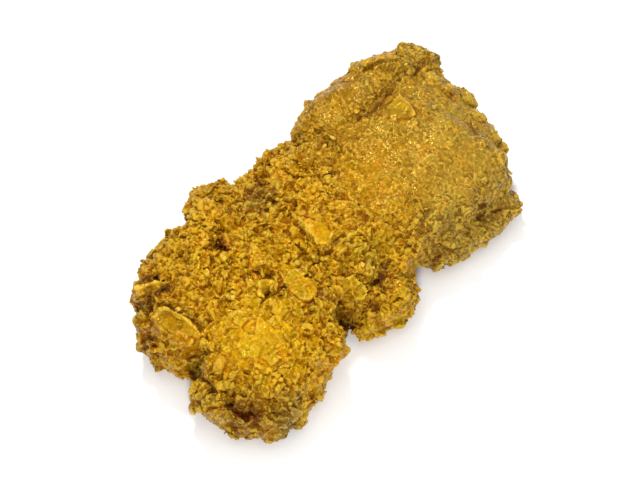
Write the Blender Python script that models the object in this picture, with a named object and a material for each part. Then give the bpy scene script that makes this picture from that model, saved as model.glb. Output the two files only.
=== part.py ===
"""A piece of curry karaage: one boneless chicken thigh fillet in a craggy fried crust.

Metres, +Z up. +X runs along the fillet, from its rugged end to its smoother end, and +Y towards the
edge that is folded into a roll. The origin is on the table, under the middle of the piece, which lies
on its flattened underside. Meat and crust are one body: the lobes of the fillet are fused and sculpted,
then crags and flakes of fried batter are fused on.
"""

import math
import random

import bmesh
import bpy
import numpy as np
from mathutils import Matrix, Vector, noise

MM = 0.001
SEED = 11

# Driving dimensions of the piece, crust included.
LENGTH = 134 * MM
WIDTH = 76 * MM
THICKNESS = 27 * MM

# The fillet's lobes, in millimetres: centre x, y, z, half sizes x, y, z, and the turn about Z in degrees.
LOBES = {
    "thick_slab": ((30, -5, 12.2), (27, 28, 12.6), -4),
    "slab_end": ((47.5, -1, 10.5), (15.5, 26, 9.8), -14),
    "fold_roll": ((38, 19.8, 12.0), (26.5, 11.5, 11.2), -6),
    "roll_tip": ((63.5, 19, 10.5), (5.6, 6.8, 7.4), -6),
    "lower_edge_roll": ((31, -29.8, 7.2), (20, 6.3, 6.4), -8),
    "lower_edge_end": ((44.5, -30.5, 7.2), (5, 6, 6.2), 0),
    "middle": ((-3, 2, 12.2), (22, 28, 12.6), 0),
    "back_bump": ((-18, 29, 10.4), (9, 8, 8.0), 0),
    "waist_flap": ((-5.5, -25.3, 8.4), (11.8, 9.2, 7.6), -6),
    "rugged_upper": ((-36, 13, 12.4), (24, 17, 12.8), 4),
    "rugged_lower": ((-40, -12.5, 12.6), (24, 18.5, 13.0), 0),
    "upper_corner": ((-49, 22, 10.0), (10, 7.5, 8.2), 18),
    "upper_tip": ((-58, 8, 9.4), (6.5, 11, 8.4), 8),
    "lower_tip": ((-60, -16, 9.6), (7, 12, 8.8), 4),
    "lower_corner": ((-49, -28, 8.2), (12, 6, 7.4), -2),
}
LOBE_BOXINESS = 2.7
LOBE_SUBDIVISIONS = 4
FUSING_VOXEL = 1.4 * MM
FUSING_SMOOTH_TURNS = 10

# Creases where the fillet folds, and pits where the crust is torn: the line's points as parts of the
# half length and half width, the depth and the half width of the groove. They start at the first of
# these parts of the thickness and have their full depth above the second.
CREASE_RISE = (0.15, 0.55)
CREASES = {
    "fold": (((0.38, 0.37), (0.58, 0.38), (0.76, 0.37), (0.90, 0.33)), 2.8 * MM, 2.0 * MM),
    "lower_edge": (((0.18, -0.76), (0.38, -0.84), (0.58, -0.90), (0.74, -0.84)), 3.4 * MM, 2.2 * MM),
    "rugged_end": (((-1.0, -0.07), (-0.84, -0.05)), 5.0 * MM, 2.6 * MM),
    "waist": (((-0.30, -0.95), (-0.27, -0.60)), 8.5 * MM, 2.8 * MM),
    "waist_dent": (((-0.17, 0.46), (-0.11, 0.58)), 3.2 * MM, 4.2 * MM),
    "torn_pit": (((0.00, -0.55), (0.10, -0.56)), 4.6 * MM, 2.8 * MM),
    "end_pit": (((-0.86, -0.50), (-0.90, -0.62)), 4.2 * MM, 3.0 * MM),
    "middle_fold": (((-0.20, 0.08), (-0.23, -0.22), (-0.08, -0.38)), 2.2 * MM, 2.0 * MM),
    "upper_holes": (((-0.88, 0.58), (-0.79, 0.55), (-0.70, 0.55)), 3.2 * MM, 1.8 * MM),
    "back_hole": (((-0.45, 0.39), (-0.44, 0.42)), 4.0 * MM, 2.0 * MM),
}

# Relief of the crust: rounded clumps in three sizes, lower towards the smooth end.
CLUMPS = {
    "lumps": (10.5 * MM, 1.9 * MM),
    "clumps": (6.0 * MM, 1.8 * MM),
    "knobs": (3.6 * MM, 1.3 * MM),
}
CLUMP_LEVEL = 0.5
SMOOTH_END_SHARE = 0.45
SMOOTH_END_X = (0.05, 0.45)
SCULPT_VOXEL = 1.1 * MM

# Crags of batter fused on the crust: how many, their radii, their distance apart, and how deep they
# sink as part of the radius. Each is stretched along its three axes and dented corner by corner.
CRAG_COUNT = 240
CRAG_RADII = (1.5 * MM, 2.9 * MM)
CRAG_SPACING = 3.8 * MM
CRAG_SUNK = 0.15
CRAG_SUBDIVISIONS = 2
CRAG_STRETCH = ((0.85, 1.30), (0.75, 1.05), (0.70, 0.95))
CRAG_DENTS = (0.86, 1.14)

# Flakes of batter: cupped chips with one side sunk and the other raised by the tilt, in degrees. The
# rim's reach and rise are parts of the radius, and the middle is thicker than the rim by FLAKE_MIDDLE.
FLAKE_COUNT = 90
FLAKE_RADII = (2.6 * MM, 4.8 * MM)
FLAKE_SPACING = 5.6 * MM
FLAKE_TILTS = (10, 38)
FLAKE_THICKNESS = 1.5 * MM
FLAKE_CORNERS = 9
FLAKE_REACH = (0.74, 1.1)
FLAKE_CUP = (0.02, 0.18)
FLAKE_MIDDLE = 1.3
TRIES_PER_PLACE = 30

# Flakes large enough to know one by one: x and y as parts of the half length and half width, the
# radius, the tilt, and the heading of the sunk side in degrees.
LARGE_FLAKES = {
    "rugged_end_flake": (-0.85, 0.20, 6.6 * MM, 16, 205),
    "middle_upper_flake": (-0.13, -0.08, 5.4 * MM, 22, 35),
    "middle_lower_flake": (-0.09, -0.25, 4.6 * MM, 24, 110),
    "fold_flake": (0.59, 0.18, 4.2 * MM, 22, 250),
    "waist_flake": (-0.12, -0.78, 5.4 * MM, 18, 100),
    "back_flake": (-0.27, 0.76, 5.2 * MM, 18, 270),
    "lower_corner_flake": (-0.80, -0.78, 5.0 * MM, 26, 60),
}

# The crust is pressed flat where it lies on the table.
PRESSED = 1.3 * MM
TABLE_BLOCK_DEPTH = 20 * MM

# The batter is fused at this voxel size, then thinned to this many triangles where it is flattest.
SKIN_VOXEL = 0.9 * MM
SKIN_TRIANGLES = 12400

CRUST_COLOUR = (0.52, 0.27, 0.035, 1.0)
CRUST_ROUGHNESS = 0.5
SHARP_ANGLE = 50


def clear_scene():
    """Starts from an empty scene."""
    for obj in list(bpy.data.objects):
        bpy.data.objects.remove(obj, do_unlink=True)


def crust_material():
    """Curry-yellow fried crust."""
    material = bpy.data.materials.new("fried_crust")
    material.use_nodes = True
    shader = material.node_tree.nodes["Principled BSDF"]
    shader.inputs["Base Color"].default_value = CRUST_COLOUR
    shader.inputs["Roughness"].default_value = CRUST_ROUGHNESS
    material.diffuse_color = CRUST_COLOUR
    return material


def object_of(name, bm):
    """A linked object made from a bmesh, which is freed."""
    mesh = bpy.data.meshes.new(name)
    bm.to_mesh(mesh)
    bm.free()
    obj = bpy.data.objects.new(name, mesh)
    bpy.context.scene.collection.objects.link(obj)
    return obj


def apply_modifiers(obj):
    """Replaces the object's mesh with its evaluated mesh."""
    graph = bpy.context.evaluated_depsgraph_get()
    mesh = bpy.data.meshes.new_from_object(obj.evaluated_get(graph))
    obj.modifiers.clear()
    old = obj.data
    obj.data = mesh
    bpy.data.meshes.remove(old)


def on_plan(x, y):
    """A place on the table, from parts of the half length and half width."""
    return x * LENGTH / 2, y * WIDTH / 2


def lobes_mesh():
    """All lobes of the fillet in one bmesh, still crossing each other."""
    bm = bmesh.new()
    for centre, half, turn in LOBES.values():
        verts = bmesh.ops.create_icosphere(bm, subdivisions=LOBE_SUBDIVISIONS, radius=1.0)["verts"]
        for vert in verts:
            vert.co /= sum(abs(c) ** LOBE_BOXINESS for c in vert.co) ** (1 / LOBE_BOXINESS)
        place = Matrix.Translation(Vector(centre) * MM)
        place @= Matrix.Rotation(math.radians(turn), 4, "Z")
        place @= Matrix.Diagonal((*[size * MM for size in half], 1))
        bmesh.ops.transform(bm, matrix=place, verts=verts)
    return bm


def remesh(obj, voxel):
    """Fuses what the object holds into one even skin."""
    modifier = obj.modifiers.new("fuse", "REMESH")
    modifier.mode = "VOXEL"
    modifier.voxel_size = voxel
    apply_modifiers(obj)


def soften(obj, turns):
    """Rounds the seams where lobes meet."""
    modifier = obj.modifiers.new("soften", "SMOOTH")
    modifier.factor = 0.5
    modifier.iterations = turns
    apply_modifiers(obj)


def thin_out(obj, triangles):
    """Merges faces where the skin is flattest until about this many triangles are left."""
    obj.data.calc_loop_triangles()
    modifier = obj.modifiers.new("thin_out", "DECIMATE")
    modifier.ratio = triangles / len(obj.data.loop_triangles)
    modifier.use_collapse_triangulate = True
    apply_modifiers(obj)


def coordinates(mesh):
    """Vertex places and normals as two arrays."""
    count = len(mesh.vertices)
    places = np.empty(count * 3, np.float32)
    normals = np.empty(count * 3, np.float32)
    mesh.vertices.foreach_get("co", places)
    mesh.vertices.foreach_get("normal", normals)
    return places.reshape(-1, 3).astype(float), normals.reshape(-1, 3).astype(float)


def distance_to_line(places, points):
    """Distance on the table plane from each place to a line of several stretches."""
    nearest = np.full(len(places), np.inf)
    for start, end in zip(points, points[1:]):
        start = np.array(on_plan(*start))
        along = np.array(on_plan(*end)) - start
        offset = places[:, :2] - start
        share = np.clip(offset @ along / (along @ along), 0, 1)
        distance = np.linalg.norm(offset - share[:, None] * along, axis=1)
        nearest = np.minimum(nearest, distance)
    return nearest


def smooth_step(values, low, high):
    """0 below low, 1 above high, and an even S-shaped rise between them."""
    share = np.clip((values - low) / (high - low), 0, 1)
    return share * share * (3 - 2 * share)


def ruggedness(x):
    """1 on the rugged part, falling to SMOOTH_END_SHARE towards the smooth end."""
    return 1 - (1 - SMOOTH_END_SHARE) * smooth_step(x / (LENGTH / 2), *SMOOTH_END_X)


def clump_height(place):
    """Rounded clumps with narrow valleys, from the distance to the nearest cell centre of each size."""
    height = 0.0
    for size, tall in CLUMPS.values():
        nearest = noise.voronoi(place / size)[0][0]
        height += tall * (CLUMP_LEVEL - nearest)
    return height


def sculpt(obj):
    """Presses the creases and pits in, and raises the clumps of the crust."""
    places, normals = coordinates(obj.data)
    push = np.array([clump_height(Vector(place)) for place in places])
    push *= ruggedness(places[:, 0])
    risen = smooth_step(places[:, 2] / THICKNESS, *CREASE_RISE)
    for points, depth, half_width in CREASES.values():
        distance = distance_to_line(places, points)
        push -= depth * risen * np.exp(-((distance / half_width) ** 2))
    places += normals * push[:, None]
    obj.data.vertices.foreach_set("co", places.astype(np.float32).ravel())
    obj.data.update()


def fillet_body():
    """The fillet with its folds and clumps, before crags and flakes are fused on."""
    body = object_of("karaage", lobes_mesh())
    remesh(body, FUSING_VOXEL)
    soften(body, FUSING_SMOOTH_TURNS)
    remesh(body, SCULPT_VOXEL)
    sculpt(body)
    remesh(body, SCULPT_VOXEL)
    return body


def surface_places(body, draw, count, spacing):
    """Seeded places on the body's skin, evenly by area, thinned to the spacing and by ruggedness."""
    polygons = body.data.polygons
    areas = [polygon.area for polygon in polygons]
    found = []
    for polygon in draw.choices(polygons, weights=areas, k=count * TRIES_PER_PLACE):
        place = Vector(polygon.center)
        if draw.random() > ruggedness(place.x):
            continue
        if all((place - other).length > spacing for other, _ in found):
            found.append((place, Vector(polygon.normal)))
        if len(found) == count:
            break
    return found


def facing(normal):
    """The turn that points +Z along a normal."""
    return normal.to_track_quat("Z", "Y").to_matrix().to_4x4()


def crag(draw, place, normal, radius):
    """A knobbly nugget of batter, partly sunk in the crust."""
    bm = bmesh.new()
    bmesh.ops.create_icosphere(bm, subdivisions=CRAG_SUBDIVISIONS, radius=radius)
    stretch = Vector([draw.uniform(*span) for span in CRAG_STRETCH])
    for vert in bm.verts:
        vert.co *= stretch * draw.uniform(*CRAG_DENTS)
    spin = Matrix.Rotation(draw.uniform(0, math.tau), 4, "Z")
    sunk = Matrix.Translation(place - normal * radius * CRAG_SUNK)
    bm.transform(sunk @ facing(normal) @ spin)
    return object_of("crag", bm)


def flake(draw, place, normal, radius, tilt, heading):
    """A cupped chip of batter, one side sunk in the crust and the other raised."""
    bm = bmesh.new()
    half = Vector((0, 0, FLAKE_THICKNESS / 2))
    top, bottom = [], []
    for corner in range(FLAKE_CORNERS):
        angle = math.tau * corner / FLAKE_CORNERS
        reach = radius * draw.uniform(*FLAKE_REACH)
        cupped = radius * draw.uniform(*FLAKE_CUP)
        rim = Vector((reach * math.cos(angle), reach * math.sin(angle), cupped))
        top.append(bm.verts.new(rim + half))
        bottom.append(bm.verts.new(rim - half))
    top_middle = bm.verts.new(half * FLAKE_MIDDLE)
    bottom_middle = bm.verts.new(half * -FLAKE_MIDDLE)
    for one in range(FLAKE_CORNERS):
        two = (one + 1) % FLAKE_CORNERS
        bm.faces.new((top_middle, top[one], top[two]))
        bm.faces.new((bottom_middle, bottom[two], bottom[one]))
        bm.faces.new((top[one], bottom[one], bottom[two], top[two]))
    lean = Matrix.Rotation(math.radians(heading), 4, "Z") @ Matrix.Rotation(math.radians(tilt), 4, "Y")
    bm.transform(Matrix.Translation(place) @ facing(normal) @ lean)
    return object_of("flake", bm)


def top_place(body, x, y):
    """Where a plumb line meets the top of the body."""
    above = Vector((*on_plan(x, y), 2 * THICKNESS))
    _, place, _, _ = body.ray_cast(above, Vector((0, 0, -1)))
    return place


def batter_pieces(body):
    """The crags and flakes of fried batter, placed on the body."""
    draw = random.Random(SEED)
    pieces = []
    for place, normal in surface_places(body, draw, CRAG_COUNT, CRAG_SPACING):
        pieces.append(crag(draw, place, normal, draw.uniform(*CRAG_RADII)))
    for place, normal in surface_places(body, draw, FLAKE_COUNT, FLAKE_SPACING):
        radius = draw.uniform(*FLAKE_RADII)
        tilt = draw.uniform(*FLAKE_TILTS)
        pieces.append(flake(draw, place, normal, radius, tilt, draw.uniform(0, 360)))
    for x, y, radius, tilt, heading in LARGE_FLAKES.values():
        pieces.append(flake(draw, top_place(body, x, y), Vector((0, 0, 1)), radius, tilt, heading))
    return pieces


def fuse(body, pieces):
    """Joins the pieces to the body with one Boolean union on a collection, and removes them."""
    batter = bpy.data.collections.new("batter")
    for piece in pieces:
        bpy.context.scene.collection.objects.unlink(piece)
        batter.objects.link(piece)
    union = body.modifiers.new("fuse_batter", "BOOLEAN")
    union.operation = "UNION"
    union.operand_type = "COLLECTION"
    union.collection = batter
    apply_modifiers(body)
    for piece in pieces:
        bpy.data.objects.remove(piece, do_unlink=True)
    bpy.data.collections.remove(batter)


def press_flat(body):
    """Cuts away what would lie below the table, so that the piece rests on flats."""
    block = bmesh.new()
    bmesh.ops.create_cube(block, size=1.0)
    size = Matrix.Diagonal((2 * LENGTH, 2 * LENGTH, TABLE_BLOCK_DEPTH, 1))
    place = Matrix.Translation((0, 0, PRESSED - TABLE_BLOCK_DEPTH / 2))
    bmesh.ops.transform(block, matrix=place @ size, verts=block.verts)
    table = object_of("table_block", block)
    cut = body.modifiers.new("press_flat", "BOOLEAN")
    cut.operation = "DIFFERENCE"
    cut.object = table
    apply_modifiers(body)
    bpy.data.objects.remove(table, do_unlink=True)


def keep_largest_shell(body):
    """Drops loose scraps, and the inner skins of hollows that fusing has sealed."""
    bm = bmesh.new()
    bm.from_mesh(body.data)
    left = set(bm.verts)
    shells = []
    while left:
        shell = {left.pop()}
        edge = list(shell)
        while edge:
            vert = edge.pop()
            for link in vert.link_edges:
                other = link.other_vert(vert)
                if other in left:
                    left.remove(other)
                    shell.add(other)
                    edge.append(other)
        shells.append(shell)
    shells.sort(key=len)
    for shell in shells[:-1]:
        bmesh.ops.delete(bm, geom=list(shell), context="VERTS")
    bm.to_mesh(body.data)
    bm.free()


def fit_to_size(body):
    """Scales the piece to its driving dimensions, with the origin on the table under its middle."""
    places, _ = coordinates(body.data)
    low, high = places.min(0), places.max(0)
    middle = (low + high) / 2
    centred = Matrix.Translation((-middle[0], -middle[1], -low[2]))
    length, width, height = high - low
    scale = Matrix.Diagonal((LENGTH / length, WIDTH / width, THICKNESS / height, 1))
    body.data.transform(scale @ centred)


def build():
    """Makes the piece, in the order in which it is shaped."""
    clear_scene()
    body = fillet_body()
    fuse(body, batter_pieces(body))
    remesh(body, SKIN_VOXEL)
    keep_largest_shell(body)
    thin_out(body, SKIN_TRIANGLES)
    press_flat(body)
    fit_to_size(body)
    body.data.shade_smooth()
    body.data.set_sharp_from_angle(angle=math.radians(SHARP_ANGLE))
    body.data.materials.clear()
    body.data.materials.append(crust_material())


build()
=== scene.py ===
"""Looks of the curry karaage: its fried crust, with crags, curled flakes, granules and crumbs.

Metres, +Z up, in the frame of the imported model. +X runs along the piece to its smoother end and +Y to the
edge that is folded into a roll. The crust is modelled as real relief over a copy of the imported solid, and
it and the batter scattered on it are coloured by how high each spot stands and by where it lies.
"""

import math

import bmesh
import bpy
import numpy as np
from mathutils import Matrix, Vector, kdtree, noise


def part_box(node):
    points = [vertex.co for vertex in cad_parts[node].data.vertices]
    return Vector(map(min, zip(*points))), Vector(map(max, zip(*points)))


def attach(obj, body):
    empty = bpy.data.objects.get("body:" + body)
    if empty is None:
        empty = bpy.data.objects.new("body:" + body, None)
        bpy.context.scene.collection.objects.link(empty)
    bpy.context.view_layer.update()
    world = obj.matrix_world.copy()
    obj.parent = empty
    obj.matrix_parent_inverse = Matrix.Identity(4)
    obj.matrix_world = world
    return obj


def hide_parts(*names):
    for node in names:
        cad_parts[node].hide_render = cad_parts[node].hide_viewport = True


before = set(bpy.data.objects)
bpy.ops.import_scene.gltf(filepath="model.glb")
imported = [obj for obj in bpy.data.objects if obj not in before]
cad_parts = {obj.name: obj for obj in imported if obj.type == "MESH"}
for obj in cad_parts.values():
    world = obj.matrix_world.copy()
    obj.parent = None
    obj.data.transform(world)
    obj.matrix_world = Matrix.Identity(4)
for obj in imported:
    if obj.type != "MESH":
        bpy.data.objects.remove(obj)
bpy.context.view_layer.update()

MM = 0.001
SEED = 7
NODE = "karaage"

LOW, HIGH = (np.array(corner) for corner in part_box(NODE))

# Where the crust is calm: the place on the table in millimetres, how far it reaches, and how calm it is.
# Its sides are rugged everywhere.
CALM = {
    "smooth_slab": ((42, -12), 21, 0.92),
    "slab_middle": ((20, -4), 15, 0.75),
    "slab_upper": ((46, 4), 12, 0.65),
    "fold_roll": ((34, 25), 13, 0.76),
    "dome": ((-44, -14), 12, 0.70),
    "dent": ((-11, 17), 5, 0.35),
    "round_the_v": ((-8, -3), 7, 0.60),
    "above_flake": ((-50, 8), 4, 0.50),
}
RUGGED_SIDE = (0.35, 0.80)
# How far up the crust faces, as the Z of its normal, while a flank fades out and while a top sets in.
FLANK = (0.35, 0.75)
TOP = (0.0, 0.5)
# The batter turns from fine to coarse over these distances towards the rugged end, counted from the middle.
COARSE_FROM = (-24 * MM, 2 * MM)

# Holes and crevices: their course on the table, half width and depth, all in millimetres.
GROOVES = {
    "flake_side": (
        ((-54.6, 14.6), (-52.9, 12.2), (-51.9, 9.2), (-51.4, 6.2), (-51.2, 3.7), (-51.6, 1.0)),
        0.8, 1.1,
    ),
    "corner_slot": (((-53.5, 20.2), (-55.8, 17.8)), 1.0, 2.2),
    "corner_hole": (((-51.2, 18.2), (-49.6, 16.5)), 1.2, 2.4),
    "corner_dot": (((-59.6, 13.0),), 1.0, 1.6),
    "corner_crevice": (((-53.0, 25.0), (-50.5, 23.6), (-47.8, 22.0)), 0.8, 1.5),
    "left_brown": (((-63.2, 13.4), (-62.1, 11.2)), 1.2, 1.6),
    "notch_crevice": (((-59.6, -1.1), (-60.8, -5.4), (-61.3, -9.9), (-62.3, -13.9)), 0.9, 1.5),
    "notch_upper": (((-59.6, -1.1), (-57.4, -2.3), (-55.7, -4.3)), 0.9, 1.5),
    "end_hole": (((-61.2, -19.4), (-61.0, -21.4), (-59.2, -24.2)), 1.3, 2.4),
    "end_hole_deep": (((-59.4, -24.0), (-58.8, -25.8)), 1.7, 2.8),
    "end_hole_top": (((-59.2, -18.2),), 1.0, 1.6),
    "end_brown": (((-64.0, -22.2), (-62.6, -23.7)), 0.8, 1.1),
    "rim_hole": (((-42.3, -32.6),), 1.1, 1.7),
    "rim_hole_side": (((-46.8, -31.5),), 1.0, 1.6),
    "back_hole": (((-28.9, 15.8), (-30.8, 13.2)), 1.2, 2.3),
    "back_hole_foot": (((-30.0, 11.6),), 1.0, 1.4),
    "upper_dot": (((-20.5, 22.6),), 1.2, 1.7),
    "middle_one": (((-27.8, -1.7),), 1.2, 1.7),
    "middle_two": (((-28.4, 1.4),), 1.0, 1.5),
    "middle_three": (((-27.9, -7.8),), 1.2, 1.7),
    "curl_hole": (((-31.0, -4.9), (-33.4, -6.5)), 0.65, 1.2),
    "olive_hole": (((-33.4, 1.9),), 1.1, 1.5),
    "nub_brown": (((-22.2, -17.7),), 1.0, 1.0),
    "v_shadow": (((-11.2, 2.2), (-12.0, -1.2), (-12.4, -5.0)), 0.5, 0.9),
    "v_crevice": (((-5.6, -9.1), (-8.9, -9.8)), 0.8, 1.1),
    "v_dent": (((-13.2, -6.8), (-13.9, -9.2)), 0.9, 0.7),
    "torn_pit": (((-3.9, -23.6), (-6.5, -24.9), (-8.2, -24.0)), 0.9, 2.2),
    "torn_side": (((-1.0, -22.6), (0.9, -22.0)), 0.9, 1.8),
    "notch_hole": (((-19.4, -22.6), (-18.0, -24.8)), 1.3, 2.5),
    "nub_crease": (((-12.1, -26.5), (-11.8, -29.2)), 1.1, 1.5),
    "slab_crevice": (((26.2, -31.2), (34.0, -31.2), (38.6, -33.3)), 0.7, 0.5),
    "slab_crevice_end": (((38.6, -33.3), (45.0, -33.5), (50.0, -32.0)), 0.6, 0.4),
    "slab_dot_left": (((25.9, -31.1),), 0.9, 1.2),
    "slab_dot_middle": (((31.1, -30.4), (34.0, -31.2)), 0.8, 1.2),
    "slab_dot_right": (((36.8, -32.0), (38.9, -32.9)), 0.8, 1.2),
    "dent_gap_top": (((-5.9, 23.4), (-6.3, 20.7)), 0.9, 1.5),
    "dent_gap_left": (((-9.9, 21.3),), 0.9, 1.4),
    "dent_gap_right": (((-8.7, 13.2), (-11.1, 13.7)), 0.9, 1.4),
    "dent_gap_foot": (((-14.2, 13.9),), 0.9, 1.5),
    "lower_crevice": (((7.2, -28.2), (11.9, -28.7), (14.8, -29.8)), 0.9, 1.4),
    "fold_crease": (((51.5, 15.6), (44.6, 14.7), (36.6, 13.3), (32.9, 13.5), (28.5, 14.4)), 0.85, 1.05),
    "fold_crease_end": (((28.5, 14.4), (22.0, 16.0), (15.5, 18.5)), 0.9, 0.5),
    "roll_line": (((39.0, 24.2), (36.6, 25.7), (34.3, 27.6)), 0.8, 0.9),
    "tip_crack": (((54.5, 14.0), (56.8, 14.8), (58.8, 14.6)), 0.8, 1.1),
    "rim_gap": (((55.3, 1.8), (53.8, -1.1)), 0.8, 1.0),
    "rim_dent": (((50.7, -10.7), (49.1, -13.9)), 1.1, 0.9),
    "roll_shade": (((1.3, 12.7), (5.0, 12.2)), 0.8, 0.4),
}
# Their courses sway: size of the waves, and how far.
GROOVE_WARP = (1.8 * MM, 0.7 * MM)

# Raised edges of crust that stand out: points on the table, half width and height, all in millimetres.
EDGES = {
    "v_long": (((-9.6, 3.0), (-10.6, -1.2), (-11.0, -4.2), (-11.2, -7.4)), 0.60, 2.2),
    "v_short": (((-11.2, -7.4), (-9.4, -8.4), (-6.6, -7.2)), 0.60, 2.0),
    "v_tail": (((-7.4, -10.0), (-3.6, -10.7), (-0.6, -11.6)), 0.65, 2.0),
    "corner_ridge": (((-55.0, 24.2), (-52.2, 22.6), (-49.2, 20.6)), 0.75, 2.6),
    "back_arc": (((-31.6, 11.2), (-33.2, 9.6), (-33.4, 7.8)), 0.60, 2.0),
    "flake_rim": (
        ((-57.4, 13.9), (-55.6, 13.4), (-53.9, 11.2), (-53.2, 8.7), (-52.6, 6.2), (-52.6, 3.7)),
        0.65, 2.6,
    ),
}
# How an edge is made: least number of sections and millimetres between them, a section in half widths and
# heights, the size of its waves and how far they sway it, and how its height tapers and varies.
EDGE_STATIONS = 5
EDGE_STATION = 0.35
EDGE_SECTION = ((-1.0, -0.5), (-0.62, 0.55), (0.0, 1.0), (0.62, 0.55), (1.0, -0.5))
EDGE_WAVE = 1.6
EDGE_SWAY = 0.15
EDGE_TAPER = (0.06, 0.94, 0.6)
EDGE_UNEVEN = 0.5
# How far its paler crest reaches to each side, in half widths.
EDGE_REACH = 1.2
# Edges of the same kind strewn over the rugged crust, in millimetres and their bend in radians.
STRAY_EDGES = 330
STRAY_SPACING = 2.4 * MM
STRAY_LENGTHS = (1.8, 5.5)
STRAY_STEPS = 7
STRAY_BEND = 0.55
STRAY_SWAY = 0.45
STRAY_HALF_WIDTHS = (0.40, 0.60)
STRAY_HEIGHTS = (0.8, 1.6)

# Flakes large enough to know one by one: the outline on the table and how high each corner is lifted off
# the crust, all in millimetres.
PLATES = {
    "large_flake": (
        (-60.1, 12.9, 0.4), (-58.0, 13.8, 0.8), (-55.6, 13.4, 1.3), (-54.0, 11.2, 1.6), (-53.4, 8.7, 1.7),
        (-52.6, 6.2, 1.8), (-52.7, 3.7, 1.7), (-52.6, 1.3, 1.7), (-53.9, -0.4, 1.3), (-56.1, 0.5, 0.7),
        (-58.4, 1.9, 0.2), (-60.4, 3.7, -0.4), (-62.2, 5.8, -0.8), (-62.5, 8.9, -0.8), (-61.6, 11.6, -0.4),
    ),
    "flake_ear": (
        (-58.4, 1.9, 0.6), (-56.1, 0.5, 0.8), (-54.1, -0.6, 1.0), (-54.8, -2.6, 1.5), (-56.9, -3.2, 1.8),
        (-59.4, -2.0, 1.8), (-61.2, 0.2, 1.4), (-60.4, 2.2, 0.7),
    ),
    "fold_flake": (
        (33.2, 9.9, -0.4), (38.1, 10.4, 0.6), (42.9, 10.8, 1.4), (41.4, 5.7, 1.2), (40.0, 1.6, 0.5),
        (36.4, 3.4, -0.4), (34.2, 5.8, -0.6),
    ),
    "v_flake": (
        (-9.6, 2.8, 0.6), (-10.7, -1.2, 0.8), (-11.1, -4.2, 0.9), (-11.2, -7.0, 1.0), (-9.4, -8.2, 0.7),
        (-7.2, -7.2, 0.4), (-6.4, -4.6, -0.6), (-7.6, -1.0, -0.7), (-8.1, 1.8, -0.2),
    ),
    "ribbed_flake": (
        (-9.8, -10.0, 0.8), (-8.0, -10.2, 0.8), (-6.4, -11.2, 0.5), (-7.0, -12.8, 0.2), (-9.0, -13.2, 0.2),
        (-10.8, -12.2, 0.4), (-11.0, -10.8, 0.6),
    ),
    "middle_curl": (
        (-31.0, -1.6, 1.4), (-28.6, -2.8, 1.1), (-27.6, -6.2, 0.4), (-29.6, -7.2, 0.2), (-30.2, -5.0, 0.5),
        (-32.2, -4.9, 1.1), (-34.4, -7.0, 1.6), (-34.9, -5.0, 1.7),
    ),
    "middle_flake": (
        (-22.0, -1.6, 0.2), (-20.9, -4.4, 0.5), (-21.2, -8.0, 0.8), (-21.7, -10.8, 0.8), (-20.2, -13.6, 0.6),
        (-23.0, -16.5, 0.2), (-26.2, -16.3, 0.0), (-27.8, -13.9, -0.1), (-27.8, -11.0, 0.0),
        (-26.4, -6.7, 0.0), (-25.2, -3.6, 0.0),
    ),
    "nub_flake": (
        (-15.5, -17.0, 0.2), (-11.8, -18.7, 0.6), (-10.4, -22.2, 1.0), (-11.3, -25.3, 1.0),
        (-14.2, -24.8, 0.4), (-15.2, -21.5, 0.0), (-16.3, -19.2, 0.0),
    ),
    "corner_curl": (
        (-54.7, 24.4, 1.5), (-52.2, 22.9, 1.5), (-49.2, 21.0, 1.5), (-47.9, 17.5, 1.3), (-49.0, 15.0, 0.8),
        (-50.4, 18.9, 0.5), (-52.9, 20.9, 0.4), (-55.3, 21.8, 0.6),
    ),
}
PLATE_RINGS = 5
PLATE_SPOKES = 36
PLATE_THICKNESS = 1.4 * MM
# The rim is thinner by this share, and the middle is lifted by this share of the rim's mean lift.
PLATE_THIN_RIM = 0.25
PLATE_MIDDLE_LIFT = 0.7
# How deep a flake may reach below its highest place, and how far up the crust faces where it lies.
PLATE_DROP = 4 * MM
PLATE_FACING = 0.2
# The waves of its outline and its wrinkles: size in millimetres and how strong.
PLATE_RAGGED = (1.2, 0.15)
PLATE_WRINKLE = (1.7, 0.22)

# Rounded lobes of batter that stand out: place on the table, half length, half width and heading in degrees.
LOBES = {
    "nub_lobe": ((-14.6, -27.6), 4.4, 1.9, 95),
    "nub_ring": ((-2.6, -29.4), 3.6, 2.9, 20),
    "low_lobe": ((-62.4, 2.2), 3.6, 2.2, 40),
    "dome_lobe": ((-37.5, -3.5), 3.0, 2.6, 0),
    "ring_lobe": ((-33.0, -1.6), 3.0, 2.8, 0),
    "back_lobe": ((-27.0, 8.4), 3.2, 2.4, 70),
    "upper_lobe": ((-22.5, 26.0), 3.6, 2.6, 30),
    "slab_corner": ((47.5, -31.5), 3.2, 2.0, 15),
    "tip_lobe": ((56.5, 9.5), 3.2, 2.6, 60),
    "rim_lobe": ((59.0, -4.0), 3.4, 2.6, 100),
    "rim_upper": ((56.4, 2.6), 2.6, 2.0, 100),
    "rim_middle": ((55.4, -9.6), 2.8, 2.0, 90),
    "rim_lower": ((54.6, -17.0), 3.0, 2.0, 80),
    "rim_foot": ((51.8, -27.0), 2.6, 2.1, 60),
}
# A lobe's height and how deep it sinks, as parts of its half width, and its dents' size and depth.
LOBE_HEIGHT = 0.8
LOBE_SUNK = 0.25
LOBE_DENTS = (0.6, 0.10)

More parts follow.
